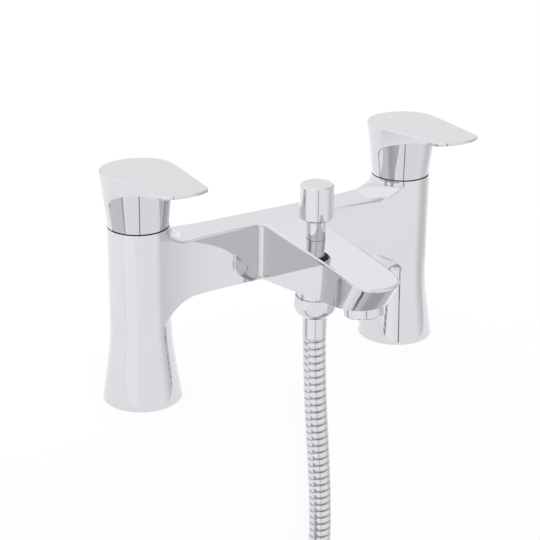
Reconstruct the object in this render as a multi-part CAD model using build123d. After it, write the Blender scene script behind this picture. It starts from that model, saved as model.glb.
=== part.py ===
from build123d import *
import math
import os

# Bath shower mixer for two tap holes: a hollow cast body of two columns, a bridge and a spout, two lever valves,
# a lift-up diverter and a metal shower hose. Millimetres, +Z up. The origin is on the bath deck, midway between
# the columns, and the spout points along -Y.

# Signs and turns in degrees
SIDES = (-1, 1)
FULL_TURN = 360

# Fits
fit_gap = 0.08
running_gap = 0.06
face_gap = 0.05
cut_overrun = 30.0

# Columns, with the heights inside them measured down from the mouth
column_x = 90.0
column_radius = 17.9
column_height = 106.5
base_radius = 23.3
base_edge = 0.6
flare_angle = 8.0
flare_radius = 144.0
flare_top = 48.0
column_bore_radius = 13.0
bore_cone = 6.0
seat_depth = 42.5
seat_web = 4.0
seat_hole_radius = 6.0
chamber_radius = 13.0
thread_depth = 20.5
head_thread_radius = 10.48

# Bridge, hung below the columns' mouths
bridge_drop = 10.1
bridge_height = 34.9
bridge_half_width = 10.5
bridge_blend = 200.0
bridge_sink = 0.05
bridge_core_half_width = 7.0
bridge_floor = 5.5
bridge_roof = 5.4
upper_cove = 10.0
lower_cove = 13.5

# Spout: plan half widths and reaches from the columns' axes, and the nose's two levels
spout_root_half_width = 14.7
spout_belly_half_width = 15.4
spout_belly_reach = 55.0
spout_shoulder_half_width = 14.6
spout_shoulder_reach = 98.0
nose_low_rise = 13.9
nose_low_reach = 106.3
nose_high_drop = 5.4
nose_high_reach = 117.0
nose_bulge = 9.8
nose_half_width = 16.4
nose_corner = 12.0
body_edge = 1.5
spout_top_arc = 975.0
spout_fall_angle = 8.25
spout_root_cove = 2.5

# Diverter chamber and the passages on either side of it
diverter_reach = 44.5
diverter_bore_radius = 10.0
chamber_roof = 4.9
outlet_roof = 6.4
outlet_height = 3.5
outlet_half_width = 7.4
inlet_rise = 4.5
inlet_height = 7.0
inlet_half_width = 6.5

# Diverter
bonnet_sink = 1.0
bonnet_height = 12.0
bonnet_radius = 5.35
bonnet_thread_radius = 4.9
bonnet_collar = 1.2
bonnet_collar_radius = 5.7
rod_radius = 2.5
rod_groove_radius = 1.9
rod_seal_depth = 5.4
rod_seal_height = 1.5
rod_end_rise = 0.6
knob_radius = 9.65
knob_gap = 0.7
knob_height = 20.4
knob_edge = 0.9
knob_recess_radius = 6.6
knob_recess = 2.0
knob_socket_depth = 12.0
piston_radius = 9.4
piston_height = 3.0
piston_seal_radius = 8.8
piston_seal_height = 2.0
spring_radius = 4.6
spring_wire_radius = 0.45
spring_turns = 5

# Shower outlet nipple and its check valve
nipple_face_rise = 4.5
nipple_collar = 6.0
nipple_thread = 12.6
nipple_radius = 9.9
outlet_thread_radius = 10.48
nipple_bore_radius = 7.4
nipple_seat_radius = 5.5
nipple_seat_wall = 3.0
nipple_seal_rise = 1.8
nipple_seal_height = 1.6
nipple_seal_depth = 1.1
check_valve_rise = 1.0
check_valve_height = 9.0
check_valve_radius = 7.32
check_valve_bore = 5.4
check_valve_spokes = 3
check_valve_spoke = 1.2
check_valve_hub_radius = 1.8
check_valve_disc_radius = 4.6
check_valve_disc = 1.2

# Aerator
aerator_reach = 94.0
aerator_radius = 11.4
aerator_rim = 6.0
aerator_thread_radius = 10.3
aerator_thread = 7.0
aerator_bore_radius = 9.0
aerator_lip = 1.4
aerator_lip_radius = 8.2
aerator_edge = 0.7
aerator_insert_height = 8.0
aerator_insert_ring = 1.0
aerator_bars = 6
aerator_bar = 0.6
aerator_hub_radius = 2.4
aerator_washer = 1.6
aerator_washer_bore = 7.2
aerator_throat_radius = 7.4
aerator_throat = 15.5

# Levers, with heights above the lever's foot and reaches from its axis
seam_gap = 0.5
lever_plan_height = 36.5
lever_top_height = 33.15
lever_top_angle = 3.09
lever_draft = 7.0
lever_heel_radius = 22.1
lever_side_arc = 60.0
lever_side_angle = 7.9
lever_corner_reach = 55.2
lever_tip_reach = 61.5
lever_corner = 6.0
lever_edge = 1.0
scoop_reach_shares = (0.044, 0.163, 0.293, 0.602, 1.04)
scoop_height_shares = (0.362, 0.652, 0.751, 0.935, 1.065)
scoop_end_angle = 9.0
hub_foot_radius = 17.2
hub_height = 29.0
lever_cavity_radius = 14.4
lever_cavity = 25.0
lever_boss_radius = 8.0
lever_boss_start = 14.5
lever_socket_radius = 5.6
lever_socket_roof = 0.5
lug_radius = 4.6

# Valve headworks
seat_seal_height = 2.0
seat_seal_bore = 6.0
head_barrel_radius = 9.6
head_bore_radius = 8.4
head_bore_depth = 6.5
head_thread_gap = 0.6
head_thread_size = 10.38
head_seal_depth = 3.1
head_seal_height = 1.6
head_seal_groove = 9.2
head_flange_radius = 13.2
head_flange = 1.5
head_hex_flat = 22.0
head_hex_height = 6.5
head_neck_radius = 7.0
head_neck_height = 12.5
head_window_rise = 11.0
head_window_height = 6.0
head_window_width = 9.0
disc_radius = 8.3
disc_height = 3.4
disc_port_radius = 2.5
disc_port_offset = 4.3
spindle_radius = 4.1
spindle_foot_radius = 7.8
spindle_foot = 3.0
spline_gap = 0.2
clip_radius = 6.2
clip_height = 0.8
clip_rise = 0.6
clip_groove_radius = 3.3
clip_mouth = 4.6
grub_radius = 2.5
grub_rise = 19.5
grub_length = 12.0
grub_key = 2.5
grub_key_depth = 3.0

# Inlet tails, gaskets, washers and backnuts
tail_radius = 13.16
tail_bore_radius = 10.0
tail_socket = 18.0
tail_length = 52.0
tail_edge = 0.9
deck_thickness = 18.0
base_rim = 2.8
gasket_bore_radius = 14.0
gasket_height = 1.5
washer_radius = 21.0
washer_height = 2.0
backnut_flat = 36.0
backnut_height = 8.0
backnut_flange_radius = 20.0
backnut_flange = 1.5

# Hose nut, ferrule and washer at the mixer
nut_gap = 5.3
nut_height = 12.3
nut_rim_radius = 11.5
nut_radius = 12.0
nut_foot_radius = 8.2
nut_belly_rise = 8.2
nut_heel_radius = 10.9
nut_heel_rise = 2.8
nut_flat = 22.0
nut_angle = 27.6
nut_floor = 1.4
nut_floor_hole = 6.7
nut_washer_radius = 9.4
nut_flange_space = 8.5
ferrule_gap = 0.2
ferrule_length = 13.6
ferrule_radius = 7.05
ferrule_edge = 0.4
ferrule_neck_radius = 6.55
ferrule_flange_radius = 8.4
ferrule_flange = 1.5
hose_washer_height = 1.9
hose_washer_bore = 5.0

# Hose: the ribbed stretch, the coil, its ties and the far connector
hose_radius = 6.9
hose_groove_radius = 6.35
hose_bore_radius = 4.0
hose_spigot_radius = 6.0
hose_spigot = 11.0
rib_pitch = 4.6
rib_count = 47
rib_shares = (0.07, 0.20, 0.80, 0.93)
coil_radius = 77.0
coil_step = 14.8
coil_quarters = 10
coil_last_shift = 7.5
coil_lead = 14.0
tie_width = 7.0
tie_thickness = 1.1
tie_gap = 0.4
far_sleeve = 22.0
far_neck = 4.0
far_nut_length = 21.0
far_nut_radius = 12.4
far_nut_foot_radius = 8.4
far_nut_rim = 5.0
far_thread_depth = 10.0
far_nut_edge = 0.6

# Places that follow from the sizes above
seat_top = column_height - seat_depth
chamber_top = column_height - thread_depth
bridge_top = column_height - bridge_drop
bridge_bottom = bridge_top - bridge_height
upper_cove_top = bridge_top + upper_cove
lower_cove_low = bridge_bottom - lower_cove
fall_slope = math.tan(math.radians(spout_fall_angle))
nose_low_z = bridge_bottom + nose_low_rise
nose_high_z = bridge_top - nose_high_drop
nose_slope = (nose_low_reach - nose_high_reach) / (nose_high_z - nose_low_z)
diverter_y = -diverter_reach
aerator_y = -aerator_reach
diverter_bore_top = bridge_top - chamber_roof
outlet_high = bridge_top - outlet_roof
outlet_low = outlet_high - outlet_height
nipple_face_z = bridge_bottom + nipple_face_rise
nipple_seat_z = nipple_face_z + nipple_collar
nipple_end_z = nipple_face_z - nipple_thread
nipple_seal_z = nipple_face_z + nipple_seal_rise
inlet_low = nipple_seat_z + inlet_rise
inlet_high = inlet_low + inlet_height
check_valve_low = nipple_end_z + check_valve_rise
bonnet_foot_z = bridge_top - bonnet_sink
bonnet_top = bonnet_foot_z + bonnet_height
rod_seal_z = bonnet_top - rod_seal_depth
rod_end_z = nipple_seat_z + rod_end_rise
knob_low = bonnet_top + knob_gap
knob_high = knob_low + knob_height
piston_low = nipple_seat_z + face_gap + piston_seal_height
piston_top = piston_low + piston_height
nut_top = nipple_face_z - nut_gap
nut_low = nut_top - nut_height
ferrule_top = nut_low - ferrule_gap
ferrule_low = ferrule_top - ferrule_length
hose_end_z = ferrule_low - rib_pitch * rib_count
coil_centre_z = hose_end_z - coil_lead
lever_foot_z = column_height + seam_gap
lever_top_z = lever_foot_z + lever_top_height
lever_cavity_top = lever_foot_z + lever_cavity
lever_boss_low = lever_foot_z + lever_boss_start
lever_socket_top = lever_cavity_top - lever_socket_roof
head_low = seat_top + seat_seal_height
head_thread_low = chamber_top + head_thread_gap
head_bore_top = column_height - head_bore_depth
head_seal_z = column_height - head_seal_depth
head_neck_top = column_height + head_neck_height
clip_z = head_neck_top + clip_rise
grub_z = lever_foot_z + grub_rise
gasket_radius = base_radius - base_rim


def underside_z(y):
    """Height of the spout's underside at a distance along the spout."""
    return bridge_bottom - (y + bridge_half_width) * fall_slope


def turned(points):
    """Solid of revolution about Z from (radius, height) corners."""
    return revolve(Plane.XZ * make_face(Polyline(*points, close=True)), Axis.Z)


def tube(outer, inner, low, high):
    """Ring about Z."""
    return turned([(inner, low), (outer, low), (outer, high), (inner, high)])


def rod(radius, low, high):
    """Solid cylinder about Z."""
    return turned([(0, low), (radius, low), (radius, high), (0, high)])


def block(low, high):
    """Box between two opposite corners."""
    size = [b - a for a, b in zip(low, high)]
    middle = [(a + b) / 2 for a, b in zip(low, high)]
    return Pos(*middle) * Box(*size)


def hexagon(flat, low, high):
    """Hexagonal prism about Z with the given size across flats."""
    face = RegularPolygon(flat / 2, 6, major_radius=False)
    return Pos(0, 0, low) * extrude(face, high - low)


def across(radius, start, end):
    """Solid cylinder along Y between two distances from the origin."""
    return Pos(0, end, 0) * Rot(90, 0, 0) * rod(radius, 0, end - start)


def write(part, name):
    """Write one node's STEP file."""
    part.label = name
    export_step(part, "parts/" + name + ".step")
    return part


def column():
    """One column: a straight shank that flares to its base through an arc and a short cone."""
    lean = math.radians(flare_angle)
    foot_radius = column_radius + flare_radius * (1 - math.cos(lean))
    foot_z = flare_top - flare_radius * math.sin(lean)
    half = lean / 2
    middle = (column_radius + flare_radius * (1 - math.cos(half)), flare_top - flare_radius * math.sin(half))
    outline = [
        Line((0, 0), (base_radius - base_edge, 0)),
        Line((base_radius - base_edge, 0), (base_radius, base_edge)),
        Line((base_radius, base_edge), (foot_radius, foot_z)),
        ThreePointArc((foot_radius, foot_z), middle, (column_radius, flare_top)),
        Line((column_radius, flare_top), (column_radius, column_height)),
        Line((column_radius, column_height), (0, column_height)),
        Line((0, column_height), (0, 0)),
    ]
    return revolve(Plane.XZ * make_face(outline), Axis.Z)


def bridge_plan():
    """Plan of the bridge: a bar that swells through large arcs, which end a hair inside the two columns."""
    reach = column_radius - bridge_sink + bridge_blend
    blend_y = bridge_half_width + bridge_blend
    blend_x = column_x - math.sqrt(reach**2 - blend_y**2)
    towards = math.atan2(-blend_y, column_x - blend_x)
    middle = (towards - math.pi / 2) / 2
    touch = (blend_x + bridge_blend * math.cos(towards), blend_y + bridge_blend * math.sin(towards))
    bulge = (blend_x + bridge_blend * math.cos(middle), blend_y + bridge_blend * math.sin(middle))
    edges = [Line((-blend_x, s * bridge_half_width), (blend_x, s * bridge_half_width)) for s in SIDES]
    for sx in SIDES:
        for sy in SIDES:
            start = (sx * blend_x, sy * bridge_half_width)
            edges.append(ThreePointArc(start, (sx * bulge[0], sy * bulge[1]), (sx * touch[0], sy * touch[1])))
        far = (sx * (column_x + column_radius - bridge_sink), 0)
        edges.append(ThreePointArc((sx * touch[0], touch[1]), far, (sx * touch[0], -touch[1])))
    return make_face(edges)


def cove(low_radius, low_z, high_radius, high_z, bulge):
    """Solid of revolution whose side is one concave quarter arc."""
    outline = [
        Line((0, low_z), (low_radius, low_z)),
        ThreePointArc((low_radius, low_z), bulge, (high_radius, high_z)),
        Line((high_radius, high_z), (0, high_z)),
        Line((0, high_z), (0, low_z)),
    ]
    return revolve(Plane.XZ * make_face(outline), Axis.Z)


def bridge():
    """Bridge with its flat top and underside, and the coves that sweep up and down into the columns."""
    plan = bridge_plan()
    solid = Pos(0, 0, bridge_bottom) * extrude(plan, bridge_top - bridge_bottom)
    upper_zone = Pos(0, 0, bridge_top) * extrude(plan, upper_cove)
    lower_zone = Pos(0, 0, lower_cove_low) * extrude(plan, lower_cove)
    near = 1 - math.sqrt(0.5)
    sunk = column_radius - bridge_sink
    upper_bulge = (sunk + upper_cove * near, bridge_top + upper_cove * near)
    lower_bulge = (column_radius + lower_cove * near, bridge_bottom - lower_cove * near)
    upper = cove(sunk + upper_cove, bridge_top, sunk, upper_cove_top, upper_bulge)
    lower = cove(column_radius, lower_cove_low, column_radius + lower_cove, bridge_bottom, lower_bulge)
    for side in SIDES:
        solid += (Pos(side * column_x, 0, 0) * upper) & upper_zone
        solid += (Pos(side * column_x, 0, 0) * lower) & lower_zone
    return solid


def spout_plan():
    """Plan of the spout's two gently bowed sides, carried past the nose, and their coves at the bridge."""
    edges = [Line((-spout_root_half_width, 0), (spout_root_half_width, 0))]
    ends = []
    for s in SIDES:
        root = (s * spout_root_half_width, 0)
        belly = (s * spout_belly_half_width, -spout_belly_reach)
        side = ThreePointArc(root, belly, (s * spout_shoulder_half_width, -spout_shoulder_reach))
        end = side @ 1
        past = end + (side % 1) * cut_overrun
        edges += [side, Line(end, past)]
        ends.append(past)
    edges.append(Line(*ends))
    face = make_face(edges) + Rectangle(2 * (spout_root_half_width + bridge_half_width), 2 * bridge_half_width)
    roots = face.vertices().filter_by(
        lambda v: abs(abs(v.X) - spout_root_half_width) < spout_root_cove
        and abs(v.Y + bridge_half_width) < base_edge
    )
    return fillet(roots, spout_root_cove)


def nose():
    """Everything behind the round nose, which leans forward with height."""
    tip_y = (bridge_bottom - nose_low_z) * nose_slope - nose_low_reach
    shoulder_y = tip_y + nose_bulge
    side = nose_half_width + nose_bulge
    edges = [
        ThreePointArc((-nose_half_width, shoulder_y), (0, tip_y), (nose_half_width, shoulder_y)),
        Polyline((nose_half_width, shoulder_y), (side, shoulder_y), (side, cut_overrun), (-side, cut_overrun),
                 (-side, shoulder_y), (-nose_half_width, shoulder_y)),
    ]
    rise = cut_overrun + bridge_top - bridge_bottom
    return Pos(0, 0, bridge_bottom) * extrude(make_face(edges), rise, dir=(0, nose_slope, 1))


def spout_side():
    """Side view of the spout: a top that falls in one long arc, and a straight rising underside."""
    end_y = -nose_high_reach - cut_overrun
    run = -bridge_half_width - end_y
    angle = math.asin(run / spout_top_arc)
    half = angle / 2
    end_z = bridge_top - spout_top_arc * (1 - math.cos(angle))
    drop = spout_top_arc * (1 - math.cos(half))
    middle = (-bridge_half_width - spout_top_arc * math.sin(half), bridge_top - drop)
    outline = [
        Line((bridge_half_width, bridge_bottom), (bridge_half_width, bridge_top)),
        Line((bridge_half_width, bridge_top), (-bridge_half_width, bridge_top)),
        ThreePointArc((-bridge_half_width, bridge_top), middle, (end_y, end_z)),
        Line((end_y, end_z), (end_y, underside_z(end_y))),
        Line((end_y, underside_z(end_y)), (-bridge_half_width, bridge_bottom)),
        Line((-bridge_half_width, bridge_bottom), (bridge_half_width, bridge_bottom)),
    ]
    return extrude(Plane.YZ * make_face(outline), nose_half_width + cut_overrun, both=True)


def spout():
    """Spout: its plan, its leaning nose and its side view, met in one solid with soft nose corners."""
    plan = Pos(0, 0, bridge_bottom) * extrude(spout_plan(), bridge_top - bridge_bottom)
    solid = plan & nose() & spout_side()
    corners = solid.edges().filter_by(
        lambda e: e.center().Y < nose_bulge + nose_corner - nose_low_reach
        and abs(e.center().X) > spout_shoulder_half_width / 2
        and abs((e % 0).Z) > math.sqrt(0.5)
    )
    return fillet(corners, nose_corner)


def on_underside(y):
    """Location on the spout's underside at a distance along the spout, with +Z square to it."""
    return Pos(0, y, underside_z(y)) * Rot(-spout_fall_angle, 0, 0)


def waterways():
    """Everything that is cored, bored or faced out of the casting."""
    core_low = (-column_x, -bridge_core_half_width, bridge_bottom + bridge_floor)
    solid = block(core_low, (column_x, bridge_core_half_width, bridge_top - bridge_roof))
    tail_hole = tail_radius + fit_gap
    column_core = turned([
        (0, -cut_overrun), (gasket_radius, -cut_overrun), (gasket_radius, gasket_height),
        (tail_hole, gasket_height), (tail_hole, tail_socket), (column_bore_radius, tail_socket),
        (column_bore_radius, seat_top - seat_web - bore_cone), (seat_hole_radius, seat_top - seat_web),
        (seat_hole_radius, seat_top), (chamber_radius, seat_top),
        (chamber_radius, chamber_top), (head_thread_radius, chamber_top),
        (head_thread_radius, column_height + cut_overrun), (0, column_height + cut_overrun),
    ])
    for side in SIDES:
        solid += Pos(side * column_x, 0, 0) * column_core
    solid += block((-inlet_half_width, diverter_y, inlet_low), (inlet_half_width, 0, inlet_high))
    solid += block((-outlet_half_width, aerator_y, outlet_low), (outlet_half_width, diverter_y, outlet_high))
    bonnet_hole = bonnet_thread_radius + fit_gap
    bonnet_face = bonnet_collar_radius + fit_gap
    diverter_core = turned([
        (0, lower_cove_low), (nut_radius, lower_cove_low), (nut_radius, nipple_face_z),
        (diverter_bore_radius, nipple_face_z), (diverter_bore_radius, diverter_bore_top),
        (bonnet_hole, diverter_bore_top), (bonnet_hole, bonnet_foot_z),
        (bonnet_face, bonnet_foot_z), (bonnet_face, bonnet_top), (0, bonnet_top),
    ])
    solid += Pos(0, diverter_y, 0) * diverter_core
    socket = rod(aerator_thread_radius + fit_gap, -cut_overrun, aerator_thread + aerator_washer)
    solid += on_underside(aerator_y) * (socket + rod(aerator_throat_radius, 0, aerator_throat))
    return solid


def is_top_edge(edge):
    """Whether an edge is on the body's upper rim, which runs from column to column and round the spout."""
    middle = edge.center()
    lying = abs((edge % 0.5).Z) < math.sqrt(0.5)
    outer = abs(middle.Y) > bridge_half_width - body_edge
    low, high = nose_high_z - body_edge, upper_cove_top - body_edge
    at_root = abs(middle.X) < body_edge and -middle.Y < bridge_half_width + body_edge and middle.Y < 0
    return lying and outer and low < middle.Z < high and not at_root


def body_casting():
    """Brass body: two columns, the bridge and the spout in one casting, cored through for the water."""
    bars = bridge() + spout()
    shell = fillet(bars.edges().filter_by(is_top_edge), body_edge)
    for side in SIDES:
        shell += Pos(side * column_x, 0, 0) * column()
    return shell - waterways()


def lever_plan():
    """Plan of the lever: a round heel, sides that leave it through short arcs, and a blunt curved tip."""
    turn = math.radians(lever_side_angle)
    side_x = lever_heel_radius - lever_side_arc * (1 - math.cos(turn))
    side_y = -lever_side_arc * math.sin(turn)
    bulge_x = lever_heel_radius - lever_side_arc * (1 - math.cos(turn / 2))
    bulge_y = -lever_side_arc * math.sin(turn / 2)
    corner_x = side_x - (side_y + lever_corner_reach) * math.tan(turn)
    edges = [ThreePointArc((-lever_heel_radius, 0), (0, lever_heel_radius), (lever_heel_radius, 0))]
    for s in SIDES:
        edges.append(ThreePointArc((s * lever_heel_radius, 0), (s * bulge_x, bulge_y), (s * side_x, side_y)))
        edges.append(Line((s * side_x, side_y), (s * corner_x, -lever_corner_reach)))
    corner = (corner_x, -lever_corner_reach)
    edges.append(ThreePointArc((-corner_x, -lever_corner_reach), (0, -lever_tip_reach), corner))
    face = make_face(edges)
    corners = face.vertices().filter_by(lambda v: abs(v.Y + lever_corner_reach) < lever_edge)
    return fillet(corners, lever_corner)


def scoop():
    """Hollow below the blade, cut from side to side in front of the lever's axis."""
    low = lever_foot_z - cut_overrun
    ceiling = [
        (-reach * lever_tip_reach, lever_foot_z + height * lever_top_height)
        for reach, height in zip(scoop_reach_shares, scoop_height_shares)
    ]
    wall_y = ceiling[0][0]
    end_y = ceiling[-1][0]
    outline = [
        Line((wall_y, low), ceiling[0]),
        Spline(*ceiling, tangents=[(0, 1), (-1, math.tan(math.radians(scoop_end_angle)))]),
        Line(ceiling[-1], (end_y, low)),
        Line((end_y, low), (wall_y, low)),
    ]
    return extrude(Plane.YZ * make_face(outline), cut_overrun, both=True)


def lever():
    """Lever about its own axis: a drafted skirt under a flat blade, scooped out below, and a boss inside."""
    plan = Pos(0, 0, lever_foot_z + lever_plan_height) * lever_plan()
    solid = extrude(plan, lever_plan_height, dir=(0, 0, -1), taper=lever_draft)
    above = Pos(0, 0, lever_top_z) * Rot(-lever_top_angle, 0, 0)
    reach = lever_heel_radius + lever_tip_reach
    solid -= above * block((-reach, -reach, 0), (reach, reach, cut_overrun))
    rim = solid.faces().sort_by(Axis.Z)[-1].edges()
    solid = fillet(rim, lever_edge)
    solid -= scoop()
    hub_top_radius = hub_foot_radius + hub_height * math.tan(math.radians(lever_draft))
    hub_top = lever_foot_z + hub_height
    solid += turned([(0, lever_foot_z), (hub_foot_radius, lever_foot_z), (hub_top_radius, hub_top), (0, hub_top)])
    solid -= rod(lever_cavity_radius, lever_foot_z - cut_overrun, lever_cavity_top)
    solid += rod(lever_boss_radius, lever_boss_low, lever_cavity_top + lever_edge)
    lug = across(lug_radius, 0, lever_cavity_radius + lever_edge)
    solid += Pos(0, 0, grub_z) * lug
    solid -= rod(lever_socket_radius, lever_boss_low - cut_overrun, lever_socket_top)
    solid -= Pos(0, 0, grub_z) * across(grub_radius + fit_gap, 0, cut_overrun)
    return solid


def spline_insert():
    """Plastic bush between the lever's boss and the spindle, with a hole for the grub screw."""
    outer = lever_socket_radius - fit_gap
    inner = spindle_radius + face_gap
    bush = tube(outer, inner, lever_boss_low + spline_gap, lever_socket_top - spline_gap)
    return bush - Pos(0, 0, grub_z) * across(grub_radius + fit_gap, 0, cut_overrun)


def grub_screw():
    """Grub screw that holds the lever on the spindle, with a hexagon socket in its outer end."""
    start = spindle_radius + fit_gap
    end = start + grub_length
    key = Pos(0, end, 0) * Rot(90, 0, 0) * hexagon(grub_key, -grub_key_depth, grub_key_depth)
    return Pos(0, 0, grub_z) * (across(grub_radius, start, end) - key)


def spindle():
    """Valve spindle: a drive foot on the turning disc, a long stem and a groove for the clip."""
    foot_low = head_low + 2 * disc_height + 2 * face_gap
    top = lever_socket_top - spline_gap
    return turned([
        (0, foot_low), (spindle_foot_radius, foot_low), (spindle_foot_radius, foot_low + spindle_foot),
        (spindle_radius, foot_low + spindle_foot), (spindle_radius, clip_z), (clip_groove_radius, clip_z),
        (clip_groove_radius, clip_z + clip_height + face_gap), (spindle_radius, clip_z + clip_height + face_gap),
        (spindle_radius, top), (0, top),
    ])


def spindle_clip():
    """Open ring that sits in the spindle's groove above the headwork."""
    low = clip_z + face_gap
    high = clip_z + clip_height
    ring = tube(clip_radius, clip_groove_radius + face_gap, low, high)
    return ring - block((-clip_mouth / 2, 0, low), (clip_mouth / 2, clip_radius + fit_gap, high))


def disc(low):
    """Ceramic disc with two round ports."""
    solid = rod(disc_radius, low, low + disc_height)
    for side in SIDES:
        solid -= Pos(side * disc_port_offset, 0, 0) * rod(disc_port_radius, low, low + disc_height)
    return solid


def headwork():
    """Valve headwork: windowed barrel, thread, seal groove, hexagon and neck round the spindle."""
    flange_low = column_height + face_gap
    flange_high = flange_low + head_flange
    seal_high = head_seal_z + head_seal_height
    stem_bore = spindle_radius + running_gap
    solid = turned([
        (head_bore_radius, head_low), (head_barrel_radius, head_low), (head_barrel_radius, head_thread_low),
        (head_thread_size, head_thread_low), (head_thread_size, head_seal_z), (head_seal_groove, head_seal_z),
        (head_seal_groove, seal_high), (head_thread_size, seal_high), (head_thread_size, flange_low),
        (head_flange_radius, flange_low), (head_flange_radius, flange_high), (head_neck_radius, flange_high),
        (head_neck_radius, head_neck_top), (stem_bore, head_neck_top), (stem_bore, head_bore_top),
        (head_bore_radius, head_bore_top),
    ])
    hex_top = column_height + head_hex_height
    inner = (stem_bore + head_neck_radius) / 2
    solid += hexagon(head_hex_flat, flange_low + head_flange / 2, hex_top) - rod(inner, column_height, hex_top)
    reach = head_barrel_radius + fit_gap
    half = head_window_width / 2
    window_low = head_low + head_window_rise
    return solid - block((-reach, -half, window_low), (reach, half, window_low + head_window_height))


def seat_seal():
    """Rubber ring between the seat in the casting and the fixed disc."""
    return tube(head_barrel_radius, seat_seal_bore, seat_top + face_gap, head_low - face_gap)


def head_seal():
    """O-ring that seals the headwork in the column's mouth."""
    low = head_seal_z + face_gap
    high = head_seal_z + head_seal_height - face_gap
    return tube(head_thread_radius - face_gap, head_seal_groove + face_gap, low, high)


def inlet_tail():
    """Threaded inlet tail with a chamfered end."""
    top = tail_socket - face_gap
    low = -tail_length
    return turned([
        (tail_bore_radius, low), (tail_radius - tail_edge, low), (tail_radius, low + tail_edge),
        (tail_radius, top), (tail_bore_radius, top),
    ])


def base_gasket():
    """Rubber gasket in the recess below the column."""
    return tube(gasket_radius - fit_gap, gasket_bore_radius, 0, gasket_height - face_gap)


def tail_washer():
    """Fibre washer below the deck."""
    return tube(washer_radius, tail_radius + fit_gap, -deck_thickness - washer_height, -deck_thickness)


def backnut():
    """Flanged hexagon nut that clamps the mixer to the deck from below."""
    top = -deck_thickness - washer_height - face_gap
    low = top - backnut_height
    solid = hexagon(backnut_flat, low, top) + rod(backnut_flange_radius, top - backnut_flange, top)
    return solid - rod(tail_radius + fit_gap, low - fit_gap, top + fit_gap)


def bonnet():
    """Diverter bonnet: threaded into the spout, with a collar at the top and a bore for the rod."""
    bore = rod_radius + running_gap
    foot = bonnet_foot_z + face_gap
    return turned([
        (bore, diverter_bore_top), (bonnet_thread_radius, diverter_bore_top), (bonnet_thread_radius, foot),
        (bonnet_radius, foot), (bonnet_radius, bonnet_top - bonnet_collar),
        (bonnet_collar_radius, bonnet_top - bonnet_collar), (bonnet_collar_radius, bonnet_top), (bore, bonnet_top),
    ])


def diverter_rod():
    """Diverter rod from the piston up into the knob, with a groove for its seal."""
    top = knob_low + knob_socket_depth - fit_gap
    return turned([
        (0, rod_end_z), (rod_radius, rod_end_z), (rod_radius, rod_seal_z), (rod_groove_radius, rod_seal_z),
        (rod_groove_radius, rod_seal_z + rod_seal_height), (rod_radius, rod_seal_z + rod_seal_height),
        (rod_radius, top), (0, top),
    ])


def rod_seal():
    """O-ring in the rod's groove."""
    low = rod_seal_z + face_gap
    return tube(rod_radius, rod_groove_radius + face_gap, low, low + rod_seal_height - 2 * face_gap)


def diverter_knob():
    """Round pull knob with softened rims and a recess below."""
    return turned([
        (knob_recess_radius, knob_low), (knob_radius - knob_edge, knob_low), (knob_radius, knob_low + knob_edge),
        (knob_radius, knob_high - knob_edge), (knob_radius - knob_edge, knob_high), (0, knob_high),
        (0, knob_low + knob_socket_depth), (rod_radius + fit_gap, knob_low + knob_socket_depth),
        (rod_radius + fit_gap, knob_low + knob_recess), (knob_recess_radius, knob_low + knob_recess),
    ])


def piston():
    """Diverter piston above its seal."""
    return tube(piston_radius, rod_radius + fit_gap, piston_low + face_gap, piston_top)


def piston_seal():
    """Rubber seal that rests on the nipple's seat."""
    return tube(piston_seal_radius, rod_radius + fit_gap, nipple_seat_z + face_gap, piston_low)


def nipple():
    """Shower outlet nipple: a seat for the diverter, a seal groove, a shoulder and the hose thread."""
    low = nipple_seal_z
    high = nipple_seal_z + nipple_seal_height
    shoulder = nipple_face_z - face_gap
    groove = nipple_radius - nipple_seal_depth
    seat_low = nipple_seat_z - nipple_seat_wall
    return turned([
        (nipple_seat_radius, nipple_seat_z), (nipple_radius, nipple_seat_z), (nipple_radius, high),
        (groove, high), (groove, low), (nipple_radius, low), (nipple_radius, shoulder),
        (outlet_thread_radius, shoulder), (outlet_thread_radius, nipple_end_z),
        (nipple_bore_radius, nipple_end_z), (nipple_bore_radius, seat_low), (nipple_seat_radius, seat_low),
    ])


def nipple_seal():
    """O-ring in the nipple's groove."""
    low = nipple_seal_z + face_gap
    inner = nipple_radius - nipple_seal_depth + face_gap
    return tube(diverter_bore_radius - face_gap, inner, low, low + nipple_seal_height - 2 * face_gap)


def check_valve():
    """Non-return cartridge: a spoked ring with its closing disc."""
    high = check_valve_low + check_valve_height
    solid = tube(check_valve_radius, check_valve_bore, check_valve_low, high)
    solid += rod(check_valve_hub_radius, check_valve_low, high)
    solid += rod(check_valve_disc_radius, high - check_valve_disc, high)
    half = check_valve_spoke / 2
    reach = check_valve_bore + fit_gap
    for i in range(check_valve_spokes):
        spoke = block((0, -half, check_valve_low), (reach, half, check_valve_low + 2 * check_valve_spoke))
        solid += Rot(0, 0, i * FULL_TURN / check_valve_spokes) * spoke
    return solid


def aerator_housing():
    """Aerator housing: a plain rim below the spout, a lip inside it and the thread above."""
    solid = turned([
        (aerator_lip_radius, -aerator_rim), (aerator_radius - aerator_edge, -aerator_rim),
        (aerator_radius, aerator_edge - aerator_rim), (aerator_radius, -face_gap),
        (aerator_thread_radius, -face_gap), (aerator_thread_radius, aerator_thread),
        (aerator_bore_radius, aerator_thread), (aerator_bore_radius, aerator_lip - aerator_rim),
        (aerator_lip_radius, aerator_lip - aerator_rim),
    ])
    return on_underside(aerator_y) * solid


def aerator_insert():
    """Aerator insert: a ring, a hub and thin bars between them."""
    low = aerator_lip - aerator_rim + face_gap
    high = low + aerator_insert_height
    outer = aerator_bore_radius - fit_gap
    inner = outer - aerator_insert_ring
    solid = tube(outer, inner, low, high) + rod(aerator_hub_radius, low, high)
    half = aerator_bar / 2
    for i in range(aerator_bars):
        solid += Rot(0, 0, i * FULL_TURN / aerator_bars) * block((0, -half, low), (inner + fit_gap, half, high))
    return on_underside(aerator_y) * solid


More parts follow.
